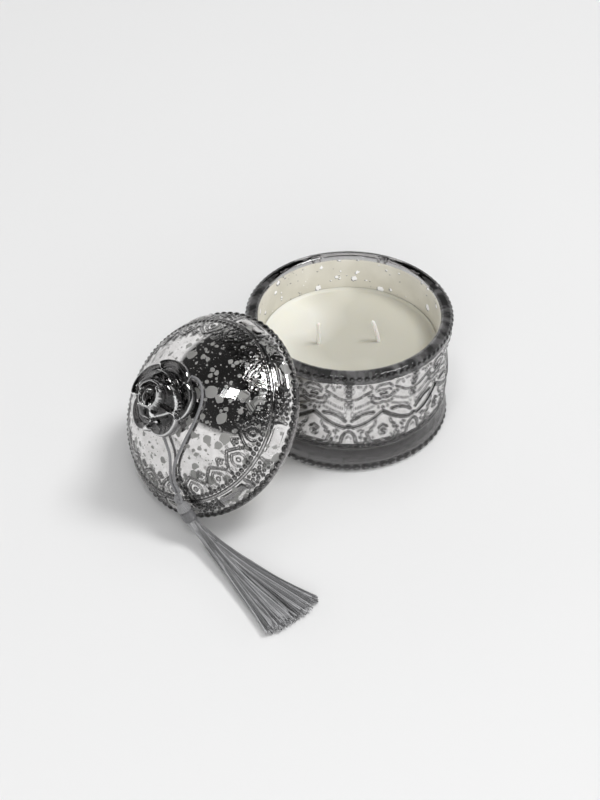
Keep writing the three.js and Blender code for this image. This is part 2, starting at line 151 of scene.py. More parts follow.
# Single beads: degrees, height, half width, half height, height above the wall.
JAR_DOTS = [
    (0, 53.8, 1.45, 1.35, 0.50), (0, 50.2, 1.45, 1.35, 0.50), (0, 46.6, 1.3, 0.9, 0.50),
    (0, 28.3, 1.5, 0.9, 0.50), (0, 41.2, 0.7, 0.7, 0.30), (9.9, 19.9, 1.0, 0.6, 0.35),
    (14.4, 20.2, 0.6, 0.6, 0.25), (19.2, 46.5, 1.3, 0.85, 0.50), (7.4, 18.2, 0.6, 0.4, 0.25),
    (20, 23.2, 0.75, 0.75, 0.35), (20, 37.9, 0.8, 0.8, 0.30), (17.2, 38.4, 0.7, 0.6, 0.25),
    (11.4, 46.2, 0.8, 0.7, 0.30), (13.0, 44.6, 0.7, 0.8, 0.30), (2.2, 55.6, 0.6, 0.5, 0.25),
]
JAR_RINGS = [  # degrees, height, radius, stroke width, height above the wall
    (0, 41.2, 1.75, 0.7, 0.25),
    (20, 23.2, 1.75, 0.7, 0.25),
    (0, 50.2, 2.3, 0.5, 0.20),
    (0, 53.8, 2.3, 0.5, 0.20),
]

# ---- the lid's sizes, in its own frame ----
LIP_DEPTH = 8
LIP_OUTSIDE = 42.4
LID_EDGE = 3  # height of the beaded edge
DOME_HEIGHT = 35.5
DOME_POWER = 1.56
HOLLOW_START = 4
HOLLOW_HEIGHT = 28
HOLLOW_POWER = 2.2
LID_LINING_START = -6
NECK_RADIUS = 9
NECK_FILLET = 9.8  # radius at which the neck meets the petals
CORD_ROOM = 2.8  # between the dome and the petals above it
LID_COLUMNS = 60 * REPEATS
LID_PATTERN_TOP = 27  # along the dome, beyond which its rows of points are further apart
# Rows of beads: how many, distance along the dome, bead radius, radius of the row, height above the dome.
EDGE_BEADS = (78, 1.0, 1.55, 49.2, 0.9)
LACE_BEADS = (108, 14.1, 0.95, 43.4, 0.7)
LID_BAR = 13  # direction of the middle of one of the smooth bars round the dome
BAR_HALF_ANGLE = 8.6
BAR_PLACE = 7.2  # distance of its middle from the beaded edge
BAR_HALF_WIDTH = 2.6
BAR_END = 1.6  # length of its rounded end
BAR_HEIGHT = 0.8
# The flower knob: five outer petals, three inner ones and a bud. Its heights are from the lid's rim.
FLOWER_TINT = 0.8  # how dark it is
PETAL_EDGE_RADIUS = 18.3
PETAL_EDGE_HEIGHT = 40
PETAL_RISE = 4.2  # from the petals' edge to the middle
PETAL_STEP = 3.4  # from one petal down to the next
PETAL_HOLLOW = 2.6  # depth of the cup between the petals' edge and the inner petals
PETAL_RUFFLE = 0.35
INNER_RADIUS = 11.6
INNER_RISE = 2.2
INNER_STEP = 2.8
BUD_RADIUS = 7
BUD_RISE = 4.0
BUD_WALL = 1.4
BUD_HOLLOW = 1.9
BUD_SWIRL = 1.3  # height of the spiral inside the bud
# Strokes of the lid's pattern over half a repeat: width, height, points as degrees from the bar's
# middle and distance along the dome from its beaded edge.
LID_PAIRS = [  # each of these is drawn again beyond the mirror line between two bars
    (1.0, 0.40, [(0, 25.2), (5, 22.7), (9, 19.3), (10, 16.0)]),
    (0.9, 0.30, [(0, 22.4), (3.6, 20.2), (4.4, 17.6), (3.0, 15.8)]),
    (0.7, 0.25, [(2.2, 24.6), (2.6, 26.6)]),
    (0.7, 0.25, [(6.6, 16.0), (7.4, 18.4)]),
]
LID_STROKES = LID_PAIRS + [
    (width, height, [(20 - angle, place) for angle, place in points]) for width, height, points in LID_PAIRS
] + [
    (1.5, 0.35, [(0, 11.7), (20, 11.7)]),
    (1.1, 0.40, [(11.6, 4.4), (12.2, 7.2), (11.6, 10.0)]),
    (0.7, 0.30, [(7.0, 23.6), (10, 26.2), (13.0, 23.6)]),
]
LID_DOTS = [  # degrees, distance, half width, half height, height above the dome
    (20, 6.8, 1.2, 1.2, 0.60), (20, 4.3, 0.85, 0.85, 0.45), (20, 9.4, 0.85, 0.85, 0.45),
    (17.2, 5.5, 0.85, 0.85, 0.45), (17.2, 8.2, 0.85, 0.85, 0.45), (14.6, 4.4, 0.75, 0.75, 0.40),
    (14.5, 6.9, 0.8, 0.8, 0.40), (14.6, 9.4, 0.75, 0.75, 0.40), (0, 18.4, 0.9, 1.3, 0.40),
    (20, 18.4, 0.9, 1.3, 0.40), (10, 23.6, 0.8, 1.0, 0.35), (8.2, 21.6, 0.5, 0.5, 0.25),
    (11.8, 21.6, 0.5, 0.5, 0.25),
]

# Slopes of the glass at which its painted shade starts and is full: dark edges that stand in for the light
# its steep sides turn away.
JAR_PAINTED_SHADE = (0.13, 0.34)
LID_PAINTED_SHADE = (0.15, 0.42)

# ---- the cord's route in the lid's frame: from the knot, round the knob's neck and back ----
CORD_ROUTE = [
    (19.6, -35.4, 19.8), (17.1, -32.4, 23.3), (15.9, -28.2, 26.6), (15.2, -24.2, 29.2),
    (13.9, -20.3, 31.6), (11.2, -17.2, 33.7), (7.8, -14.2, 35.6), (2.6, -11.9, 37.1),
    (-4.0, -10.6, 37.3), (-9.4, -5.4, 37.5), (-10.9, 1.6, 37.5), (-8.4, 8.0, 37.3),
    (-2.6, 12.0, 37.0), (3.0, 14.6, 36.1), (8.2, 15.8, 34.9), (12.8, 13.4, 34.6),
    (16.2, 9.2, 34.5), (18.2, 3.4, 34.6), (19.0, -2.8, 34.3), (18.8, -9.6, 33.4),
    (18.2, -16.4, 31.6), (17.4, -22.4, 29.3), (17.8, -27.8, 26.2), (19.1, -31.7, 23.0),
    (21.4, -34.0, 20.1),
]
CORD_DIAMETER = 1.5
PLY_PITCH = 3.2  # length of one turn of the cord's twist
PLY_SHARE = 0.28  # radius of a ply, of the cord's diameter

# ---- camera ----
CAMERA_AZIMUTH = -38.5  # direction from the object to the camera
CAMERA_ELEVATION = 40.24
CAMERA_DISTANCE = 1050
CAMERA_LENS = 96.75
AIM = (0, 0, 30)
AIM_RIGHT = -23.69  # how far the picture's middle is from that point
AIM_UP = -19.44


# ---- helpers: curves ----
def unit(v):
    return v / np.linalg.norm(v)


def smooth_step(value, low, high):
    """From 0 at low to 1 at high, level at both ends."""
    t = np.clip((value - low) / (high - low), 0, 1)
    return t * t * (3 - 2 * t)


def distance_along(line):
    """How far each point of a line is from its start, along it."""
    return np.concatenate([[0], np.cumsum(np.linalg.norm(np.diff(line, axis=0), axis=1))])


def smooth_line(points, steps=8):
    """Points along the centripetal Catmull-Rom curve through the given points."""
    p = np.array(points, float)
    p = np.vstack([2 * p[0] - p[1], p, 2 * p[-1] - p[-2]])
    spans = []
    for p0, p1, p2, p3 in zip(p, p[1:], p[2:], p[3:]):
        t1 = np.linalg.norm(p1 - p0) ** 0.5
        t2 = t1 + np.linalg.norm(p2 - p1) ** 0.5
        t3 = t2 + np.linalg.norm(p3 - p2) ** 0.5
        t = np.linspace(t1, t2, steps, endpoint=False)[:, None]
        a1 = ((t1 - t) * p0 + t * p1) / t1
        a2 = ((t2 - t) * p1 + (t - t1) * p2) / (t2 - t1)
        a3 = ((t3 - t) * p2 + (t - t2) * p3) / (t3 - t2)
        b1 = ((t2 - t) * a1 + t * a2) / t2
        b2 = ((t3 - t) * a2 + (t - t1) * a3) / (t3 - t1)
        spans.append(((t2 - t) * b1 + (t - t1) * b2) / (t2 - t1))
    spans.append(p[-2:-1])
    return np.vstack(spans)


def spaced(line, distance):
    """The same line with its points a fixed distance apart."""
    along = distance_along(line)
    count = max(2, round(along[-1] / distance) + 1)
    places = np.linspace(0, along[-1], count)
    return np.stack([np.interp(places, along, line[:, k]) for k in range(line.shape[1])], axis=1)


def carried_frames(line):
    """Two directions across a line at each of its points, carried along it without twist."""
    tangent = np.gradient(line, axis=0)
    tangent /= np.linalg.norm(tangent, axis=1, keepdims=True)
    across = [unit(np.cross(tangent[0], (0.3, 0.5, 0.8)))]
    for t in tangent[1:]:
        across.append(unit(across[-1] - t * (across[-1] @ t)))
    across = np.array(across)
    return across, np.cross(tangent, across)


def superellipse(radius, bottom, height, power, steps):
    """Radius and height from the full radius at the bottom up to the crown on the axis."""
    angle = np.linspace(0, math.pi / 2, steps)
    across = radius * np.clip(np.cos(angle), 0, 1) ** (2 / power)
    up = bottom + height * np.sin(angle) ** (2 / power)
    return np.stack([across, up], axis=1)


# ---- helpers: meshes ----
def make_mesh(name, points, faces, materials, place=None):
    """A smooth mesh from points in millimetres; place turns them into the row frame."""
    points = np.asarray(points, float)
    if place is not None:
        points = place(points)
    mesh = bpy.data.meshes.new(name)
    mesh.from_pydata((points * MM).tolist(), [], [tuple(f) for f in faces])
    mesh.polygons.foreach_set("use_smooth", [True] * len(mesh.polygons))
    for m in materials:
        mesh.materials.append(m)
    made = bpy.data.objects.new(name, mesh)
    bpy.context.scene.collection.objects.link(made)
    return made


def give_values(made, name, values):
    """A number for each point of a mesh, for its material to read."""
    made.data.attributes.new(name, "FLOAT", "POINT").data.foreach_set("value", np.ravel(values))


def ring_faces(rows, columns, first=0):
    """Quads between rings of points that each close on themselves."""
    r, c = np.meshgrid(np.arange(rows - 1), np.arange(columns), indexing="ij")
    here = first + r * columns + c
    beside = first + r * columns + (c + 1) % columns
    return np.stack([here, beside, beside + columns, here + columns], axis=-1).reshape(-1, 4)


def closed_rings(rings):
    """Points and faces of rings of points, closed at both ends by a point in the end ring's middle."""
    rows, columns, _ = rings.shape
    points = np.vstack([rings.reshape(-1, 3), rings[0].mean(0), rings[-1].mean(0)])
    faces = ring_faces(rows, columns).tolist()
    first, last = rows * columns, rows * columns + 1
    for c in range(columns):
        following = (c + 1) % columns
        faces.append((first, following, c))
        faces.append((last, (rows - 1) * columns + c, (rows - 1) * columns + following))
    return points, faces


def turned(radii, heights, angles):
    """Rings round the axis. Radii and heights are rows by columns, or one value a row."""
    radii = np.broadcast_to(np.reshape(radii, (len(radii), -1)), (len(radii), len(angles)))
    heights = np.broadcast_to(np.reshape(heights, (len(heights), -1)), radii.shape)
    return np.stack([radii * np.cos(angles), radii * np.sin(angles), heights], axis=-1)


def column_angles(count):
    return np.arange(count) * FULL_TURN / count


def tubes(lines, radius, sides):
    """Points and faces of many thin tubes: lines is tubes by steps by 3, radius the same or one number."""
    lines = np.asarray(lines, float)
    count, steps, _ = lines.shape
    tangent = np.gradient(lines, axis=1)
    tangent /= np.linalg.norm(tangent, axis=2, keepdims=True)
    side = np.cross(tangent, (0.05, 0.1, 1.0))
    side /= np.linalg.norm(side, axis=2, keepdims=True)
    up = np.cross(tangent, side)
    angles = column_angles(sides)
    size = np.broadcast_to(radius, (count, steps))[..., None, None]
    rings = lines[:, :, None] + size * (
        side[:, :, None] * np.cos(angles)[:, None] + up[:, :, None] * np.sin(angles)[:, None])
    points, faces = [], []
    for k, one in enumerate(rings):
        p, f = closed_rings(one)
        faces.append([[i + k * (steps * sides + 2) for i in face] for face in f])
        points.append(p)
    return np.vstack(points), [face for group in faces for face in group]


def swept(line, radius, sides):
    """Rings along a line. Radius is one number, or one for each point of each ring."""
    across, over = carried_frames(line)
    angles = column_angles(sides)
    size = np.broadcast_to(radius, (len(line), sides))[..., None]
    return line[:, None] + size * (
        across[:, None] * np.cos(angles)[:, None] + over[:, None] * np.sin(angles)[:, None])


# ---- helpers: relief ----
def line_distance(u, v, line):
    """How far each point of a tile is from a line drawn on it."""
    nearest = np.full(u.shape, np.inf)
    for a, b in zip(line, line[1:]):
        d = b - a
        share = np.clip(((u - a[0]) * d[0] + (v - a[1]) * d[1]) / max(d @ d, 1e-9), 0, 1)
        nearest = np.minimum(nearest, np.hypot(u - a[0] - share * d[0], v - a[1] - share * d[1]))
    return nearest


def ridge(distance, width, height):
    """A round-backed ridge with steep sides."""
    return height * np.sqrt(np.clip(1 - (2 * distance / width) ** 2, 0, None))


def steepness(relief, rows_at, arc):
    """Slope of a relief: rows_at is each row's place and arc the distance between columns."""
    across = (np.roll(relief, -1, 1) - np.roll(relief, 1, 1)) / (2 * arc)
    return np.hypot(across, np.gradient(relief, rows_at, axis=0))


def slope_painted_shade(slope, limits):
    """The share of painted shade that a slope gets: dark that stands in for the light the pattern's steep
    sides turn away.
    """
    start, full = limits
    return np.clip((slope - start) / (full - start), 0, 1)


def half_repeat(angles, start):
    """The degrees over which half a repeat is drawn, and which of them each column of points shows.

    Start is the direction of one of the pattern's mirror lines.
    """
    half = 180 / REPEATS
    turn = half - np.abs((np.degrees(angles) - start) % (2 * half) - half)
    return np.unique(np.round(turn, 6), return_inverse=True)


def draw(u, v, scale, strokes=(), bead_rows=(), dots=(), circles=()):
    """The relief of a pattern on a tile. Scale turns degrees into millimetres."""
    relief = np.zeros(u.shape)
    fit = np.array([scale, 1.0])
    for width, height, points in strokes:
        line = smooth_line(np.array(points) * fit, 5)
        relief = np.maximum(relief, ridge(line_distance(u, v, line), width, height))
    for radius, pitch, height, points in bead_rows:
        for centre in spaced(smooth_line(np.array(points) * fit, 5), pitch):
            gap = np.hypot(u - centre[0], v - centre[1])
            relief = np.maximum(relief, ridge(gap, 2 * radius, height))
    for angle, place, half_width, half_height, height in dots:
        gap = np.hypot((u - angle * scale) / half_width, (v - place) / half_height)
        relief = np.maximum(relief, ridge(gap, 2, height))
    for angle, place, radius, width, height in circles:
        gap = np.abs(np.hypot(u - angle * scale, v - place) - radius)
        relief = np.maximum(relief, ridge(gap, width, height))
    return relief


def bead_ring(angles, places, count, centre, radius, row_radius, height):
    """A row of round beads round the axis; places are those of the relief's rows."""
    pitch = FULL_TURN / count
    across = (np.mod(angles, pitch) - pitch / 2) * row_radius
    return ridge(np.hypot(across[None], (places - centre)[:, None]), 2 * radius, height)


# ---- the lid's frame ----
LID_ORIGIN = np.array(joint("cord_swivel")["pos_m"]) / MM
LID_W = np.array(joint("cord_swivel")["axis"])
LID_X = np.array([1.0, 0, 0])
LID_FRAME = np.stack([LID_X, np.cross(LID_W, LID_X), LID_W])


def from_lid(points):
    """Points in the lid's frame, turned into the row frame."""
    return np.asarray(points, float) @ LID_FRAME + LID_ORIGIN


def dome_height(radius):
    share = np.clip(np.asarray(radius, float) / LID_RADIUS, 0, 1) ** DOME_POWER
    return LID_EDGE + DOME_HEIGHT * (1 - share) ** (1 / DOME_POWER)


# ---- helpers: materials ----
def node(tree, kind, inputs=None, **settings):
    """A shader node with its settings; an input is a value or another node's output."""
    made = tree.nodes.new("ShaderNode" + kind)
    for key, value in settings.items():
        setattr(made, key, value)
    for key, value in (inputs or {}).items():
        if isinstance(value, bpy.types.NodeSocket):
            tree.links.new(value, made.inputs[key])
        else:
            made.inputs[key].default_value = value
    return made


def new_material(name):
    """An empty material, its tree, and the point's own place in millimetres, the same at every pose."""
    made = bpy.data.materials.new(name)
    made.use_nodes = True
    tree = made.node_tree
    tree.nodes.clear()
    where = node(tree, "TexCoord").outputs["Object"]
    in_mm = node(tree, "VectorMath", {0: where, 1: (1 / MM,) * 3}, operation="MULTIPLY")
    return made, tree, in_mm.outputs[0]


def surface(tree, shader, volume=None):
    inputs = {"Surface": shader.outputs[0]}
    if volume is not None:
        inputs["Volume"] = volume.outputs[0]
    node(tree, "OutputMaterial", inputs)


def principled(tree, inputs):
    """Makes the material's surface one principled shader."""
    surface(tree, node(tree, "BsdfPrincipled", inputs))


def grey(value):
    return (value, value, value, 1)


def calc(tree, operation, a, b):
    return node(tree, "Math", {0: a, 1: b}, operation=operation).outputs[0]


def span(tree, share, low, high):
    """A number that goes from low to high as the share goes from 0 to 1."""
    return node(tree, "MapRange", {"Value": share, "To Min": low, "To Max": high}).outputs[0]


def noise(tree, where, size, detail=2.0):
    """Soft random clouds of about this size."""
    made = node(tree, "TexNoise", {"Vector": where, "Scale": 1 / size, "Detail": detail})
    return made.outputs[0]


def value_of(tree, name):
    """The number that give_values put on the mesh under this name."""
    return node(tree, "Attribute", attribute_name=name).outputs["Fac"]


def mixed(tree, share, first, second):
    """A colour between two."""
    return node(tree, "Mix", {"Factor": share, 6: first, 7: second}, data_type="RGBA").outputs[2]


def ramp(tree, value, low, high, dark, bright):
    """A value from low to high turned into a colour between two."""
    share = node(tree, "MapRange", {"Value": value, "From Min": low, "From Max": high})
    return mixed(tree, share.outputs[0], dark, bright)


def warped(tree, where, drift, amount):
    """A place moved by a noise, so that what is drawn there has uneven edges."""
    return node(tree, "VectorMath", {0: drift.node.outputs["Color"], 1: (amount,) * 3, 2: where},
                operation="MULTIPLY_ADD").outputs[0]


def bump(tree, height, depth):
    made = node(tree, "Bump", {"Height": height, "Distance": depth * MM, "Strength": 1.0})
    return made.outputs[0]


def spots(tree, where, cell, largest, smallest=0.0):
    """A mask of round spots of many sizes: cell is their spacing, largest and smallest their radii."""
    cells = node(tree, "TexVoronoi", {"Vector": where, "Scale": 1 / cell})
    size = node(tree, "SeparateColor", {"Color": cells.outputs["Color"]})
    limit = node(tree, "MapRange", {
        "Value": size.outputs[0], "From Min": 0.25, "From Max": 1.0,
        "To Min": smallest / cell, "To Max": largest / cell})
    inside = calc(tree, "SUBTRACT", limit.outputs[0], cells.outputs["Distance"])
    return node(tree, "MapRange", {
        "Value": inside, "From Min": 0.0, "From Max": 0.04}).outputs[0]


# ---- materials ----
def smoke_glass():
    """Clear smoke-grey glass that darkens with depth and lets lamps through.

    It is near black on its steep sides, painted shade for the light they turn away, and tinted dark on the
    knob; on the petals' edges and the bud it is a silver-grey metal, a painted highlight.
    """
    made, tree, where = new_material("smoke_glass")
    streaks = noise(tree, where, 6.0)
    clean = ramp(tree, streaks, 0.3, 0.7, (0.93, 0.925, 0.925, 1), (0.97, 0.965, 0.965, 1))
    # painted highlight: silver-grey metal on the petals' edges and the bud, standing in for the glass's
    # highlights
    painted_highlight = value_of(tree, "painted_highlight")
    # painted shade: near black on the steep sides, for the light they turn away; on the knob, its dark tint
    dark = mixed(tree, value_of(tree, "painted_shade_and_knob_tint"), clean, (0.018, 0.017, 0.017, 1))
    glass = node(tree, "BsdfPrincipled", {
        "Base Color": mixed(tree, painted_highlight, dark, grey(0.8)), "Metallic": painted_highlight,
        "Roughness": 0.0, "IOR": 1.5, "Transmission Weight": 1.0, "Specular IOR Level": 0.9})
    clear = node(tree, "BsdfTransparent", {"Color": grey(0.62)})
    shadow = node(tree, "LightPath").outputs["Is Shadow Ray"]
    both = node(tree, "MixShader", {0: shadow, 1: glass.outputs[0], 2: clear.outputs[0]})
    smoke = node(tree, "VolumeAbsorption", {"Color": (0.42, 0.405, 0.41, 1), "Density": 110.0})
    surface(tree, both, smoke)
    return made


def silver(name, spot_sizes):
    """A mirror coat with bare spots, through which the lacquer behind it shows; on the jar's bevel it is a
    dull grey, painted shade for the dark that the rim's crest shows.
    """
    made, tree, where = new_material(name)
    drift = noise(tree, where, 2.2)
    bent = warped(tree, where, drift, 1.5)
    painted_shade_and_knob_tint = value_of(tree, "painted_shade_and_knob_tint")
    bare = painted_shade_and_knob_tint
    for sizes in spot_sizes:
        bare = calc(tree, "MAXIMUM", bare, spots(tree, bent, *sizes))
    tarnish = noise(tree, where, 5.0, 4.0)
    mirror = ramp(tree, tarnish, 0.35, 0.7, (0.78, 0.77, 0.76, 1), (0.93, 0.925, 0.92, 1))
    streaked = ramp(tree, tarnish, 0.42, 0.62, grey(0.04), grey(0.26))
    # the bevel's painted shade: this dull grey in place of the mirror
    behind = mixed(tree, painted_shade_and_knob_tint, (0.42, 0.42, 0.405, 1), streaked)
    principled(tree, {
        "Base Color": mixed(tree, bare, mirror, behind), "Metallic": calc(tree, "SUBTRACT", 1.0, bare),
        "Roughness": span(tree, bare, 0.03, 0.6), "Normal": bump(tree, drift, 0.015)})
    return made


def lacquer():
    """The cream lacquer over the back of the silver, with pinholes that have a dark edge; the pinholes are
    near white, painted light for the light that comes through the glass.
    """
    made, tree, where = new_material("cream_lacquer")
    bent = warped(tree, where, noise(tree, where, 0.9), 1.6)
    aside = node(tree, "VectorMath", {0: bent, 1: (0.25, 0.1, 0.3)}, operation="ADD").outputs[0]
    painted_light_holes = calc(tree, "MAXIMUM", spots(tree, bent, 5.0, 1.9, -1.1), spots(tree, bent, 2.2, 0.55, -0.5))
    edges = calc(tree, "MAXIMUM", spots(tree, aside, 5.0, 2.0, -1.1), spots(tree, aside, 2.2, 0.62, -0.5))
    cloud = noise(tree, where, 14.0, 3.0)
    cream = ramp(tree, cloud, 0.3, 0.7, (0.57, 0.545, 0.465, 1), (0.67, 0.645, 0.565, 1))
    edged = mixed(tree, edges, cream, grey(0.12))
    # painted light: the pinholes are near white, for the light that comes through the glass
    principled(tree, {
        "Base Color": mixed(tree, painted_light_holes, edged, (0.93, 0.92, 0.93, 1)), "Roughness": 0.45,
        "Normal": bump(tree, cloud, 0.1)})
    return made


def wax_white():
    """Cream wax that lets a little light in, with painted shade: darker towards +x and +y, as in the shadow
    of the jar's wall, over soft random clouds.
    """
    made, tree, where = new_material("wax")
    cloud = noise(tree, where, 30.0, 1.0)
    # painted shade: darker towards +x and +y, as in the shadow of the jar's wall
    side = node(tree, "VectorMath", {0: where, 1: (-0.008, -0.010, 0)}, operation="DOT_PRODUCT")
    light = calc(tree, "ADD", cloud, side.outputs["Value"])
    grain = noise(tree, where, 1.2, 3.0)
    principled(tree, {
        "Base Color": ramp(tree, light, 0.40, 0.85, (0.56, 0.545, 0.47, 1), (0.80, 0.79, 0.72, 1)),
        "Roughness": span(tree, cloud, 0.35, 0.6), "Subsurface Weight": 0.35,
        "Subsurface Radius": (1.0, 0.8, 0.5), "Subsurface Scale": 3 * MM,
        "Normal": bump(tree, grain, 0.05)})
    return made


def cotton():
    made, tree, where = new_material("wick_cotton")
    fibre = noise(tree, where, 0.35, 3.0)
    principled(tree, {
        "Base Color": ramp(tree, fibre, 0.3, 0.7, (0.84, 0.83, 0.78, 1), (0.92, 0.91, 0.87, 1)),
        "Roughness": 0.7, "Sheen Weight": 0.3, "Subsurface Weight": 0.2,
        "Subsurface Scale": 1 * MM, "Normal": bump(tree, fibre, 0.08)})
    return made


def tin():
    made, tree, where = new_material("wick_tab_metal")
    scratches = noise(tree, where, 0.6, 5.0)
    principled(tree, {
        "Base Color": ramp(tree, scratches, 0.3, 0.7, (0.55, 0.56, 0.57, 1), (0.74, 0.75, 0.76, 1)),
        "Metallic": 1.0, "Roughness": span(tree, scratches, 0.25, 0.5)})
    return made


def foam():
    made, tree, where = new_material("sticker_foam")
    cells = node(tree, "TexVoronoi", {"Vector": where, "Scale": 3.0}).outputs["Distance"]
    principled(tree, {
        "Base Color": ramp(tree, cells, 0.0, 0.6, (0.74, 0.74, 0.72, 1), (0.86, 0.86, 0.84, 1)),
        "Roughness": 0.85, "Normal": bump(tree, cells, 0.1)})
    return made


def silk(name, dark, bright):
    """Rayon thread: a soft sheen, darker and lighter from one thread to the next by its tone, which also
    carries painted shade in the cord's crevices and the head's grooves.
    """
    made, tree, where = new_material(name)
    fibre = noise(tree, where, 0.25)
    # random tone of the threads, and painted shade in the cord's crevices and the head's grooves
    shade = calc(tree, "ADD", fibre, value_of(tree, "tone_and_painted_shade"))
    principled(tree, {
        "Base Color": ramp(tree, shade, 0.3, 1.3, dark, bright), "Roughness": 0.38,
        "Specular IOR Level": 0.7, "Sheen Weight": 0.3, "Sheen Roughness": 0.4,
        "Normal": bump(tree, fibre, 0.05)})
    return made


GLASS = smoke_glass()
LID_SILVER = silver("lid_silver", [(5.4, 3.1, -0.2), (2.8, 1.4, -0.1), (1.2, 0.5, -0.15)])
JAR_SILVER = silver("jar_silver", [(8.0, 1.6, -2.6), (3.0, 0.4, -0.9)])
LACQUER = lacquer()
WAX = wax_white()
COTTON = cotton()
TIN = tin()
FOAM = foam()
SILK = silk("tassel_silk", (0.012, 0.012, 0.013, 1), (0.42, 0.42, 0.43, 1))
BAND_SILK = silk("tassel_band_silk", (0.06, 0.06, 0.063, 1), (0.36, 0.36, 0.37, 1))
CORD_SILK = silk("tassel_cord_silk", (0.012, 0.012, 0.013, 1), (0.20, 0.20, 0.207, 1))


# ---- camera ----
def add_camera():
    azimuth = math.radians(CAMERA_AZIMUTH)
    elevation = math.radians(CAMERA_ELEVATION)
    level = math.cos(elevation)
    back = Vector((level * math.cos(azimuth), level * math.sin(azimuth), math.sin(elevation)))
    right = Vector((0, 0, 1)).cross(back).normalized()
    up = back.cross(right)
    aim = Vector(AIM) + right * AIM_RIGHT + up * AIM_UP
    data = bpy.data.cameras.new("camera")
    data.lens = CAMERA_LENS
    data.clip_end = 20
    camera = bpy.data.objects.new("camera", data)
    camera.location = (aim + back * CAMERA_DISTANCE) * MM
    camera.rotation_euler = back.to_track_quat("Z", "Y").to_euler()
    bpy.context.scene.collection.objects.link(camera)
    bpy.context.scene.camera = camera


# ---- tassel ----
def ply_lines(line, count, offset, pitch):
    """The twisted plies of a cord, as lines round its middle line."""
    across, over = carried_frames(line)
    along = distance_along(line)
    plies = []
    for k in range(count):
        turn = FULL_TURN * (along / pitch + k / count)
        plies.append(line + offset * (across * np.cos(turn)[:, None] + over * np.sin(turn)[:, None]))
    return plies


def joined(parts):
    """Several (points, faces) as one."""
    points, faces, first = [], [], 0
    for p, f in parts:
        points.append(p)
        faces.extend([[i + first for i in face] for face in f])
        first += len(p)
    return np.vstack(points), faces


def rope(line, pitch, plies=3, sides=8):
    """Points and faces of the twisted cord, and each point's painted shade: darker in towards its middle,
    in the crevices between the plies.
    """
    ply = CORD_DIAMETER * PLY_SHARE
    strands = ply_lines(line, plies, CORD_DIAMETER / 2 - ply, pitch)
    points, faces = joined([closed_rings(swept(one, ply, sides)) for one in strands])
    # painted shade: darker in towards the cord's middle line, in the crevices between the plies
    gap = np.min([np.linalg.norm(points[:, None] - part[None], axis=2).min(1)
                  for part in np.array_split(line, 8)], axis=0)
    return points, faces, smooth_step(gap / (CORD_DIAMETER / 2), 0.6, 1.0)


def add_cord():
    line = spaced(from_lid(smooth_line(CORD_ROUTE, 12)), 0.3)
    points, faces, tone_and_painted_shade = rope(line, PLY_PITCH)
    cord = make_mesh("cord_loop", points, faces, [CORD_SILK])
    give_values(cord, "tone_and_painted_shade", tone_and_painted_shade)
    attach(cord, "cord")
    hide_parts("tassel_cord")


KNOT = middle("tassel_knot")
KNOT_RADIUS = 2.2
KNOT_SIZE = (0.52, 0.52, 1.5)  # of its loops, across and along the tassel
KNOT_PITCH = 2.4
KNOT_TONE = 0.2  # how much lighter it is than the cord
TASSEL_AXIS = unit(middle("tassel_band") - KNOT)
TASSEL_SIDE = unit(np.cross(TASSEL_AXIS, (0, 0, 1)))
HEAD_START = KNOT_RADIUS + GAP  # distances from the knot's middle along the tassel
HEAD_LENGTH = 4
HEAD_FOLD = 0.6  # how far the head starts over the knot
HEAD_RADIUS = 3.0
HEAD_THREADS = 22
HEAD_TWIST = 0.9  # radians of a thread's wave, for each millimetre down
BAND_START = HEAD_START + HEAD_LENGTH + GAP
BAND_LENGTH = 5
BAND_RADIUS = 3.0
BAND_TURNS = 8
BAND_THREAD = 0.36  # its radius
BAND_END = 0.35  # from the band's end to the middle of the first turn
ROOT = BAND_START + BAND_LENGTH + GAP


def along_tassel(points):
    """Points whose own z runs along the tassel from the knot's middle, in the row frame."""
    turn = np.stack([TASSEL_SIDE, np.cross(TASSEL_AXIS, TASSEL_SIDE), TASSEL_AXIS])
    return np.asarray(points, float) @ turn + KNOT


def add_knot():
    """The cord's overhand knot, drawn tight: a closed trefoil of the same twisted cord."""
    t = np.linspace(0, FULL_TURN, 160)
    loops = np.stack([np.sin(t) + 2 * np.sin(2 * t), np.cos(t) - 2 * np.cos(2 * t), -np.sin(3 * t)], axis=1)
    points, faces, tone_and_painted_shade = rope(spaced(loops * KNOT_SIZE, 0.25), KNOT_PITCH)
    made = make_mesh("knot", points, faces, [CORD_SILK], along_tassel)
    give_values(made, "tone_and_painted_shade", tone_and_painted_shade + KNOT_TONE)
    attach(made, "tassel")
    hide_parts("tassel_knot")


def add_head():
    """The bulb where the threads fold over the cord: threads run down it side by side."""
    heights = np.linspace(-HEAD_FOLD, HEAD_LENGTH, 28)
    rounding = np.clip(0.12 + (heights + HEAD_FOLD) / HEAD_LENGTH * 1.45, 0, math.pi / 2)
    radii = HEAD_RADIUS * np.sin(rounding) ** 0.6
    angles = column_angles(144)
    threads = np.abs(np.cos(HEAD_THREADS / 2 * angles[None] + HEAD_TWIST * heights[:, None]))
    rings = turned(radii[:, None] * (1 + 0.12 * threads), HEAD_START + heights, angles)
    made = make_mesh("tassel_head_threads", *closed_rings(rings), [SILK], along_tassel)
    # painted shade: the tone is lower in the grooves between the threads
    give_values(made, "tone_and_painted_shade", np.append(threads.ravel() * 0.5, (0, 0)))
    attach(made, "tassel")
    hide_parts("tassel_head")


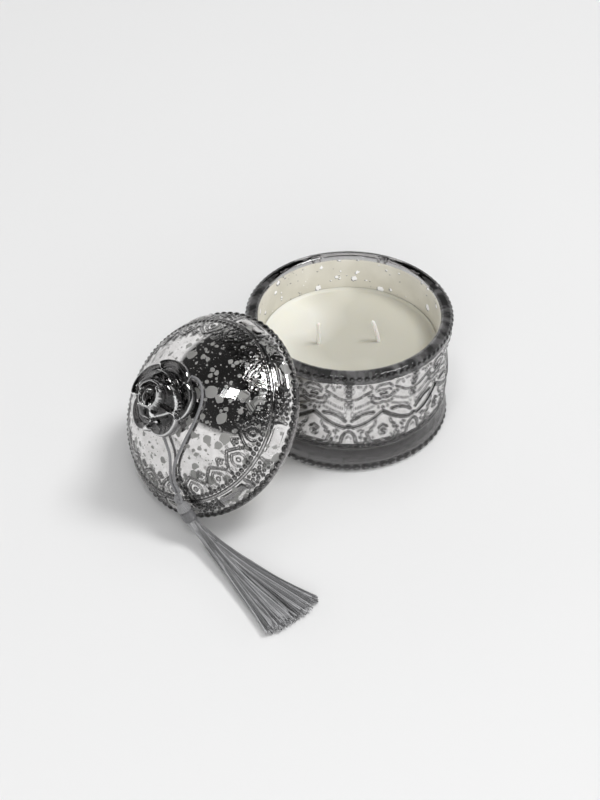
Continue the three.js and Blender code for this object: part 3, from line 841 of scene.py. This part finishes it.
def add_band():
    """The binding: one thread wound round and round a core."""
    t = np.linspace(0, 1, BAND_TURNS * 36 + 1)
    angle = FULL_TURN * BAND_TURNS * t
    line = np.stack([BAND_RADIUS * np.cos(angle), BAND_RADIUS * np.sin(angle),
                     BAND_START + BAND_END + (BAND_LENGTH - 2 * BAND_END) * t], axis=1)
    core_heights = BAND_START + np.linspace(0, BAND_LENGTH, 8)
    core = closed_rings(turned(np.full(8, BAND_RADIUS - 0.05), core_heights, column_angles(36)))
    wound = closed_rings(swept(line, BAND_THREAD, 8))
    made = make_mesh("tassel_binding", *joined([core, wound]), [BAND_SILK], along_tassel)
    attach(made, "tassel")
    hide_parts("tassel_band")


SKIRT_LINE = [  # middle of the threads after their root, in the row frame
    (35.2, -115.2, 8.6), (44.4, -114.8, 6.6), (56.6, -114.0, 4.9), (71.6, -113.2, 3.6), (86.0, -112.2, 2.9),
    (101.5, -111.0, 2.4),
]
THREADS = 460
THREAD_STEPS = 15
THREAD_SIDES = 5
THREAD_RADIUS = 0.32
THREAD_FLOOR = 0.35  # the least room between a thread and the table
THREAD_SWAY = 0.6  # how far a thread sways from side to side
SWAY_TURN = 7  # radians of that sway over a thread's length
CLUMPS = 46
CLUMP_FAN = 0.93  # share of the skirt's half width within which the clumps' middles lie
CLUMP_WIDTH = 0.06  # a clump's spread, of the same
FAN_LIMIT = 1.03  # where the outermost thread is, of the same
CUT_RANDOM = 0.03  # share of its length that a thread loses at random,
CUT_EDGE = 0.03  # towards the skirt's edges
CUT_CLUMP = 0.05  # and with its clump
SKIRT_HALF_WIDTH = 18
FAN_POWER = 1.15  # of the growth in width along the threads
SKIRT_DEPTH = 2.6  # of the layers of threads near the root
SKIRT_DEPTH_GROWTH = 1.4  # on the way to their ends
SKIRT_MIDDLE = 0.4  # share of the layers that lie below the skirt's middle line
BUNCH_RADIUS = 2.75  # of the threads where they leave the band


def thread_lines(spine, clump):
    """Each thread's middle line: bunched where it leaves the band, then fanned out along the table."""
    fan = rng.uniform(-1, 1, CLUMPS)[clump] * CLUMP_FAN + rng.normal(0, CLUMP_WIDTH, THREADS)
    fan = np.clip(fan, -FAN_LIMIT, FAN_LIMIT)
    layer = rng.uniform(0, 1, THREADS)
    start_angle = rng.uniform(0, FULL_TURN, THREADS)
    start_radius = BUNCH_RADIUS * np.sqrt(rng.uniform(0, 1, THREADS))
    cut = CUT_RANDOM * rng.uniform(0, 1, THREADS) + CUT_EDGE * fan ** 2
    cut += CUT_CLUMP * rng.uniform(0, 1, CLUMPS)[clump]
    phase = rng.uniform(0, FULL_TURN, CLUMPS)[clump] + rng.normal(0, 0.4, THREADS)
    across = unit(np.cross((0, 0, 1), unit(spine[-1] - spine[0]) * (1, 1, 0)))
    over = np.cross(TASSEL_SIDE, TASSEL_AXIS)
    bunch = (TASSEL_SIDE * (start_radius * np.cos(start_angle))[:, None]
             + over * (start_radius * np.sin(start_angle))[:, None])
    places = np.linspace(0, 1, len(spine))
    lines = np.zeros((THREADS, THREAD_STEPS, 3))
    for i, share in enumerate(np.linspace(0, 1, THREAD_STEPS)):
        reach = share * (1 - cut)
        at = np.stack([np.interp(reach, places, spine[:, k]) for k in range(3)], axis=1)
        sway = THREAD_SWAY * np.sin(phase + SWAY_TURN * reach) * reach
        spread = fan * SKIRT_HALF_WIDTH * reach ** FAN_POWER + sway
        hold = (1 - reach) ** 3
        lift = (layer - SKIRT_MIDDLE) * (SKIRT_DEPTH + SKIRT_DEPTH_GROWTH * reach) * (1 - hold)
        lines[:, i] = at + across * spread[:, None] + bunch * hold[:, None]
        lines[:, i, 2] += lift
    lines[..., 2] = np.maximum(lines[..., 2], THREAD_RADIUS + THREAD_FLOOR)
    return lines


def add_skirt():
    """The loose threads, in clumps: each thread has a tone of its own."""
    leaving = along_tassel([(0, 0, ROOT), (0, 0, ROOT + 2.0)])
    spine = spaced(smooth_line([*leaving, *SKIRT_LINE], 8), 0.5)
    clump = rng.integers(0, CLUMPS, THREADS)
    threads = tubes(thread_lines(spine, clump), THREAD_RADIUS, THREAD_SIDES)
    made = make_mesh("tassel_threads", *threads, [SILK])
    tones = 0.8 * rng.uniform(0, 1, THREADS) ** 1.5 + 0.1 * rng.uniform(0, 1, CLUMPS)[clump]
    give_values(made, "tone_and_painted_shade", np.repeat(tones, THREAD_STEPS * THREAD_SIDES + 2))
    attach(made, "tassel")
    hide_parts("tassel_skirt")


# ---- jar ----
def jar_relief(angles, heights):
    """How far the glass stands out from the jar's profile, rows by columns."""
    half, column = half_repeat(angles, SEAM)
    u, v = np.meshgrid(half * WALL_ARC, heights)
    relief = draw(u, v, WALL_ARC, JAR_STROKES, JAR_BEAD_ROWS, JAR_DOTS, JAR_RINGS)[:, column]
    relief += bead_ring(angles, heights, *FOOT_BEADS)
    relief += bead_ring(angles, heights, *RIM_BEADS)
    facet = np.mod(angles - math.radians(FACET_START), FULL_TURN / FACETS) - math.pi / FACETS
    flat = PLAIN_BAND_RADIUS * (math.cos(math.pi / FACETS) / np.cos(facet) - 1)
    starts = np.clip((heights - LEDGE_TOP) / FACET_ENDS[0], 0, 1)
    ends = np.clip((BAND_TOP - heights) / FACET_ENDS[1], 0, 1)
    return relief + (starts * ends)[:, None] * flat[None] * FACET_DEPTH


def inner_corner(angles, inset=0):
    """The rounded corner between the jar's inner wall and its floor, moved inwards."""
    radius = INNER_CORNER - inset
    return np.stack([MOUTH - inset - radius + radius * np.cos(angles),
                     BASE + inset + radius - radius * np.sin(angles)], axis=1)


def add_jar_glass():
    angles = column_angles(JAR_COLUMNS)
    outside = smooth_line(JAR_OUTSIDE, 10)
    heights = np.concatenate([np.arange(*rows) for rows in JAR_ROWS])
    relief = jar_relief(angles, heights)
    # painted shade on the pattern's steep sides
    painted_shade_and_knob_tint = slope_painted_shade(steepness(relief, heights, COLUMN_ARC), JAR_PAINTED_SHADE)
    radii = np.interp(heights, outside[:, 1], outside[:, 0])[:, None] + relief
    below = np.array(JAR_UNDERSIDE)
    corner = inner_corner(np.linspace(0.3, math.pi / 2, 5))
    inside = np.vstack([JAR_CREST, corner, [(20, BASE), (0.6, BASE)]])
    full = np.ones((1, JAR_COLUMNS))
    radii = np.vstack([below[:, :1] * full, radii, inside[:, :1] * full])
    heights = np.concatenate([below[:, 1], heights, inside[:, 1]])
    made = make_mesh("jar_pressed_glass", *closed_rings(turned(radii, heights, angles)), [GLASS])
    plain = np.zeros(len(inside) * JAR_COLUMNS + 2)
    give_values(made, "painted_shade_and_knob_tint", np.concatenate([np.zeros(len(below) * JAR_COLUMNS), painted_shade_and_knob_tint.ravel(), plain]))
    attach(made, "jar")
    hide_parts("jar_glass")


SINK = 0.12  # how far the silver sits inside the glass's own surface, so that no gap shows
COAT = 0.55  # thickness
COAT_COLUMNS = 180
LID_MIRROR_DEPTH = 1.3  # from the dome's own surface to the mirror behind it


def coat_shell(name, first, second, materials, place=None):
    """A coat between two profiles that both start at the axis; the second is in the second material."""
    profile = np.vstack([first, second[::-1]])
    points, faces = closed_rings(turned(profile[:, 0], profile[:, 1], column_angles(COAT_COLUMNS)))
    made = make_mesh(name, points, faces, materials, place)
    back = np.zeros(len(faces), dtype=np.int32)
    quads = (len(profile) - 1) * COAT_COLUMNS
    back[(len(first) - 1) * COAT_COLUMNS:quads] = 1
    back[quads + 1::2] = 1  # the caps' triangles alternate between the two profiles
    made.data.polygons.foreach_set("material_index", back)
    return made


def jar_inside(inset, wall):
    """The jar's inner floor and corner, moved inwards, and then the given wall."""
    bend = inner_corner(np.linspace(math.pi / 2, 0, 10), inset)
    return np.vstack([[(0.5, BASE + inset), (20, BASE + inset)], bend, wall])


def add_jar_lining():
    """Its mirror face follows the jar's outside close behind the pattern, up to a bevel of dull grey,
    painted shade for the dark the rim's crest shows.
    """
    outside = smooth_line(JAR_OUTSIDE, 10)
    heights = np.linspace(*MIRROR_SPAN, 40)
    radii = np.interp(heights, outside[:, 1], outside[:, 0]) - JAR_MIRROR_DEPTH
    followed = np.stack([radii, heights], axis=1)
    mirror = jar_inside(-SINK, np.vstack([followed, [followed[-1], (MOUTH + SINK, LINING_TOP)]]))
    back = jar_inside(COAT, [(MOUTH - COAT, 30), (MOUTH - COAT, LINING_TOP - 0.3)])
    made = coat_shell("jar_silver_coat", mirror, back, [JAR_SILVER, LACQUER])
    dull = np.zeros(len(mirror) + len(back))
    # painted shade: the bevel's two rows are made a dull grey
    dull[len(mirror) - 2:len(mirror)] = 1  # the two rows of the bevel
    give_values(made, "painted_shade_and_knob_tint", np.append(np.repeat(dull, COAT_COLUMNS), (0, 0)))
    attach(made, "jar")
    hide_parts("jar_lining")


MENISCUS_WIDTH = 2.6
MOUND = (0.3, 2.2)  # height and width of the wax that is drawn up round a wick
WAX_WALL = [(WAX_RADIUS, 30), (WAX_RADIUS, 15), (WAX_RADIUS - 3, 11.3), (1.0, 11.2)]  # radius, height
WICK_BENDS = {"wick_left": (-0.3, -0.3), "wick_right": (-2.0, -2.5)}  # how far the tip leans over


def wax_level(x, y, radii):
    """Height of the wax: faint waves, drawn up along the jar's lining and round the wicks."""
    level = WAX_TOP + 0.10 * np.sin(x / 9 + 1) * np.cos(y / 12) + 0.05 * np.sin((x + 1.7 * y) / 5)
    climb = np.clip((radii - WAX_RADIUS + MENISCUS_WIDTH) / MENISCUS_WIDTH, 0, 1)
    level = level + MENISCUS * climb ** 2.5
    for name in WICK_BENDS:
        centre = middle(name)
        gap = np.hypot(x - centre[0], y - centre[1])
        level = level + MOUND[0] * np.exp(-((gap / MOUND[1]) ** 2))
    return level


def add_wax():
    angles = column_angles(180)
    radii = np.concatenate([np.linspace(0.5, WAX_RADIUS - 3, 40),
                            np.linspace(WAX_RADIUS - MENISCUS_WIDTH, WAX_RADIUS, 12)])[:, None]
    x = radii * np.cos(angles)
    y = radii * np.sin(angles)
    top = np.stack([x, y, wax_level(x, y, radii)], axis=-1)[::-1]
    wall = turned(*zip(*WAX_WALL), angles)[::-1]
    made = make_mesh("wax_pool", *closed_rings(np.vstack([wall, top])), [WAX])
    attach(made, "jar")
    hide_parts("wax")


WICK_CORE = 0.817  # radius inside the braid
WICK_STRAND = 0.10  # height of the braid's strands
WICK_PITCH = 2.2  # radians of the strands' turn for each millimetre
WICK_TIP = 0.8  # length over which the tip narrows
WICK_SIDES = 20


def add_wick(name):
    centre = middle(name)
    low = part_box(name)[0].z / MM
    heights = np.linspace(low, WICK_TOP, 90)
    bend = np.clip((heights - WAX_TOP) / (WICK_TOP - WAX_TOP), 0, 1) ** 1.3
    lean = WICK_BENDS[name]
    line = np.stack([centre[0] + lean[0] * bend, centre[1] + lean[1] * bend, heights - 0.3 * bend], axis=1)
    along = distance_along(line)[:, None]
    around = 1.5 * column_angles(WICK_SIDES)
    braid = np.abs(np.sin(around + WICK_PITCH * along)) + np.abs(np.sin(around - WICK_PITCH * along))
    tip = np.clip((WICK_TOP - low - along) / WICK_TIP, 0.35, 1)
    radius = (WICK_CORE + WICK_STRAND * braid) * tip ** 0.5
    made = make_mesh(name + "_braid", *closed_rings(swept(line, radius, WICK_SIDES)), [COTTON])
    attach(made, "jar")
    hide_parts(name)


# ---- lid ----
def lid_relief(angles, along, radii):
    """How far the glass stands out from the dome, with and without the smooth bars round it.

    Along is the distance from the beaded edge.
    """
    half, column = half_repeat(angles, LID_BAR)
    scale = radii[:, None] * math.radians(1)
    u = half[None] * scale
    tile = np.zeros(u.shape)
    for i, place in enumerate(along):
        tile[i] = draw(u[i], np.full(len(half), place), scale[i, 0], LID_STROKES, (), LID_DOTS)
    ends = np.clip((BAR_HALF_ANGLE * scale - u) / BAR_END, 0, 1)
    bar = ends * np.clip((BAR_HALF_WIDTH - np.abs(along - BAR_PLACE))[:, None] / BAR_HALF_WIDTH, 0, 1)
    bar = (BAR_HEIGHT * np.sqrt(np.clip(bar * (2 - bar), 0, 1)))[:, column]
    relief = tile[:, column]
    relief += bead_ring(angles, along, *LACE_BEADS)
    relief += bead_ring(angles, along, *EDGE_BEADS)
    return np.maximum(relief, bar), relief * (bar == 0)


def dome_profile():
    """The dome's outside from its beaded edge to the neck: radius, w and distance along it."""
    dense = superellipse(LID_RADIUS - 0.9, LID_EDGE - 1.6, DOME_HEIGHT + 1.6, DOME_POWER, 4000)
    along = distance_along(dense) - 1.0  # the beads' middles are 1 mm up the curve
    neck = np.interp(NECK_RADIUS + 1.5, dense[::-1, 0], along[::-1])
    places = np.concatenate([np.arange(-0.9, LID_PATTERN_TOP, 0.36),
                             np.linspace(LID_PATTERN_TOP + 0.4, neck, 22)])
    return np.stack([np.interp(places, along, dense[:, 0]), np.interp(places, along, dense[:, 1]), places],
                    axis=1)


def petal_turn(angles):
    """Grows by pi from each of the five outer petals to the next; they are of uneven width."""
    return 2.5 * angles + 0.35 + 0.25 * np.sin(angles)


def petal_outline(angles):
    """The flower's edge radius."""
    lobes = np.abs(np.sin(petal_turn(angles)))
    return PETAL_EDGE_RADIUS * (0.86 + 0.14 * lobes ** 0.7)


def overlap(phase):
    """Rises along each petal and drops at the next one's edge."""
    return phase - smooth_step(phase, 0.93, 1.0)


# A band along a petal's edge that gets painted highlight.
def petal_edge_highlight(phase):
    return smooth_step(phase, 0.89, 0.93) * (1 - smooth_step(phase, 0.97, 1.0))


def flower(radius, angles):
    """Height of the flower's upper side in the lid's frame, and its painted highlight: petals, inner
    petals, a bud.
    """
    share = radius / petal_outline(angles)
    outer = np.mod(petal_turn(angles) / math.pi, 1)
    height = PETAL_EDGE_HEIGHT + PETAL_RISE * (1 - share)
    height = height + PETAL_STEP * overlap(outer) * smooth_step(share, 0.25, 0.6)
    height = height - PETAL_HOLLOW * np.sin(math.pi * np.clip((share - 0.45) / 0.5, 0, 1)) ** 2
    height = height + PETAL_RUFFLE * np.sin(5 * angles + 9 * share) * smooth_step(share, 0.5, 0.9)
    # painted highlight along the outer petals' edges and round the flower's rim
    painted_highlight = np.maximum(petal_edge_highlight(outer), smooth_step(share, 0.955, 0.975))

    inner_edge = INNER_RADIUS * (1 + 0.10 * np.sin(3 * angles + 1.2))
    inner = np.mod((1.5 * angles + 1.4) / math.pi, 1)
    step = smooth_step(inner_edge - radius, 0, 0.7)
    height = height + step * (INNER_RISE + INNER_STEP * overlap(inner))
    # the inner petals' rim gets painted highlight
    rim = smooth_step(radius - inner_edge, -1.2, -0.8)
    painted_highlight = np.where(step > 0.5, np.maximum(petal_edge_highlight(inner), rim), painted_highlight)

    side = smooth_step(BUD_RADIUS - radius, 0, 0.9)
    cup = smooth_step(BUD_RADIUS - BUD_WALL - radius, 0, 0.9)
    swirl = np.cos(angles - 1.15 * radius)
    height = height + side * BUD_RISE + cup * (BUD_SWIRL * swirl - BUD_HOLLOW)
    # painted highlight on the bud's wall and on its swirl
    bud_painted_highlight = np.maximum(0.8 * (1 - cup), 0.7 * cup * smooth_step(swirl, 0.75, 0.95))
    return height, np.where(side > 0.5, bud_painted_highlight, painted_highlight)


def lid_inside():
    """The lid's inside from the axis down the hollow, round the locating ring and out to the beads."""
    hollow = superellipse(HOLLOW_RADIUS, HOLLOW_START, HOLLOW_HEIGHT, HOLLOW_POWER, 16)[::-1]
    hollow[0, 0] = 0.6
    return np.vstack([hollow, [
        (HOLLOW_RADIUS, 0.5 - LIP_DEPTH), (HOLLOW_RADIUS + 0.5, -LIP_DEPTH),
        (LIP_OUTSIDE - 0.5, -LIP_DEPTH), (LIP_OUTSIDE, 0.5 - LIP_DEPTH), (LIP_OUTSIDE, 0),
        (47.2, 0.0), (48.1, 0.35)]])


def knob_rows(angles):
    """Radii and heights of the neck and the flower, row by row, and the painted highlight of each row."""
    full = np.ones((1, len(angles)))
    bottom = dome_height(NECK_RADIUS)
    neck = np.array([(9.6, bottom + 0.4), (NECK_RADIUS, bottom + 1.2), (NECK_RADIUS, bottom + 2.0),
                     (NECK_FILLET, bottom + 2.5)])
    edge = petal_outline(angles)
    share = np.linspace(0.15, 1, 8)[:, None]
    under_radii = NECK_FILLET + (edge[None] - 0.7 - NECK_FILLET) * share
    under_heights = dome_height(under_radii) + CORD_ROOM + 0.1 + 0.6 * share
    rim = dome_height(edge) + CORD_ROOM + 1.3
    top_radii = edge[None] * np.linspace(0.985, 0.02, 46)[:, None]
    top_heights, painted_highlight = flower(top_radii, angles[None])
    radii = np.vstack([neck[:, :1] * full, under_radii, edge - 0.1, edge, top_radii])
    heights = np.vstack([neck[:, 1:] * full, under_heights, rim, (rim + top_heights[0]) / 2, top_heights])
    return radii, heights, np.vstack([np.zeros((len(radii) - len(painted_highlight), len(angles))), painted_highlight])


def add_lid_glass():
    angles = column_angles(LID_COLUMNS)
    full = np.ones((1, LID_COLUMNS))
    inside = lid_inside()
    dome = dome_profile()
    slope = np.gradient(dome[:, :2], axis=0)
    slope /= np.linalg.norm(slope, axis=1, keepdims=True)
    relief, pattern = lid_relief(angles, dome[:, 2], dome[:, 0])
    # painted shade on the pattern's steep sides
    painted_shade_and_knob_tint = slope_painted_shade(steepness(pattern, dome[:, 2], dome[:, :1] * FULL_TURN / LID_COLUMNS), LID_PAINTED_SHADE)
    knob_radii, knob_heights, painted_highlight = knob_rows(angles)
    radii = np.vstack([inside[:, :1] * full, dome[:, :1] + slope[:, 1:] * relief, knob_radii])
    heights = np.vstack([inside[:, 1:] * full, dome[:, 1:2] - slope[:, :1] * relief, knob_heights])
    made = make_mesh("lid_pressed_glass", *closed_rings(turned(radii, heights, angles)), [GLASS], from_lid)
    # the pattern's painted shade, the knob's dark tint and the flower's painted highlight
    give_values(made, "painted_shade_and_knob_tint", np.concatenate([
        np.zeros(len(inside) * LID_COLUMNS), painted_shade_and_knob_tint.ravel(), np.full(painted_highlight.size, FLOWER_TINT), (0, 0)]))
    give_values(made, "painted_highlight", np.concatenate([np.zeros(radii.size - painted_highlight.size), painted_highlight.ravel(), (0, 0)]))
    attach(made, "lid")
    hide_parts("lid_glass")


def add_lid_lining():
    """Its mirror face follows the dome close behind the pattern, as the jar's does."""
    crown = superellipse(HOLLOW_RADIUS - COAT, HOLLOW_START, HOLLOW_HEIGHT - COAT, HOLLOW_POWER, 40)[::-1]
    back = np.vstack([crown, [(HOLLOW_RADIUS - COAT, LID_LINING_START)]])
    reach = LID_RADIUS - LID_MIRROR_DEPTH
    dome = superellipse(reach - 0.5, LID_EDGE - 0.2, DOME_HEIGHT - LID_MIRROR_DEPTH, DOME_POWER, 90)[::-1]
    mirror = np.vstack([dome, [
        (reach - 0.9, LID_EDGE - 0.6), (HOLLOW_RADIUS + 1.0, LID_EDGE - 1.2),
        (HOLLOW_RADIUS + SINK, LID_EDGE - 2.2), (HOLLOW_RADIUS + SINK, LID_LINING_START)]])
    back[0, 0] = mirror[0, 0] = 0.4
    made = coat_shell("lid_silver_coat", back, mirror, [LACQUER, LID_SILVER], from_lid)
    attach(made, "lid")
    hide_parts("lid_lining")


# ---- hidden hardware: the CAD nodes stay ----
def dress_hardware():
    for side in ("left", "right"):
        for name, finish in (("wick_tab_", TIN), ("wick_sticker_", FOAM)):
            data = frame["nodes"][name + side].data
            data.materials.clear()
            data.materials.append(finish)


# ---- the studio ----
FLOOR_SIZE = 8.0
# Lamps: name, direction from the jar, distance, width and height in metres, power, seen in mirrors.
LAMPS = [
    ("softbox", (0.27, 0.30, 0.91), 2.6, 0.8, 0.8, 27, True),
    ("window", (0.19, -0.32, 0.93), 2.6, 0.3, 0.4, 5, True),
    ("fill", (0.0, 0.15, 1.0), 3.0, 3.0, 3.0, 31, False),
    ("front", (0.65, -0.5, 0.57), 3.0, 2.0, 2.0, 30, False),
]


def add_floor():
    made, tree, where = new_material("floor")
    cloud = noise(tree, where, 800)
    principled(tree, {
        "Base Color": ramp(tree, cloud, 0.3, 0.7, grey(0.80), grey(0.81)),
        "Roughness": 0.9, "Specular IOR Level": 0.1})
    half = FLOOR_SIZE / 2 / MM
    corners = [(-half, -half, 0), (half, -half, 0), (half, half, 0), (-half, half, 0)]
    make_mesh("floor", corners, [(0, 1, 2, 3)], [made])


def add_lamp(name, direction, distance, width, height, power, seen):
    data = bpy.data.lights.new(name, "AREA")
    data.shape = "RECTANGLE"
    data.size = width
    data.size_y = height
    data.energy = power
    made = bpy.data.objects.new(name, data)
    away = Vector(direction).normalized()
    made.location = away * distance
    made.rotation_euler = away.to_track_quat("Z", "Y").to_euler()
    made.visible_glossy = seen
    made.visible_transmission = seen
    bpy.context.scene.collection.objects.link(made)


def add_surroundings():
    """White walls all round up to a dark ceiling, as in a photographer's studio."""
    world = bpy.data.worlds.new("studio")
    world.use_nodes = True
    tree = world.node_tree
    tree.nodes.clear()
    direction = node(tree, "TexCoord").outputs["Generated"]
    height = node(tree, "SeparateXYZ", {0: direction}).outputs[2]
    colours = node(tree, "ValToRGB", {0: height})
    stops = colours.color_ramp
    stops.elements[0].position = 0.0
    stops.elements[0].color = grey(0.95)
    stops.elements[1].position = 1.0
    stops.elements[1].color = grey(0.02)
    for position, value in ((0.42, 1.0), (0.52, 0.04)):
        stops.elements.new(position).color = grey(value)
    shine = node(tree, "Background", {"Color": colours.outputs[0], "Strength": 1.0})
    node(tree, "OutputWorld", {"Surface": shine.outputs[0]})
    bpy.context.scene.world = world


add_camera()
add_cord()
add_knot()
add_head()
add_band()
add_skirt()
add_jar_glass()
add_jar_lining()
add_wax()
for wick in WICK_BENDS:
    add_wick(wick)
add_lid_glass()
add_lid_lining()
dress_hardware()
add_floor()
for lamp in LAMPS:
    add_lamp(*lamp)
add_surroundings()
bpy.context.scene.view_settings.view_transform = "Standard"
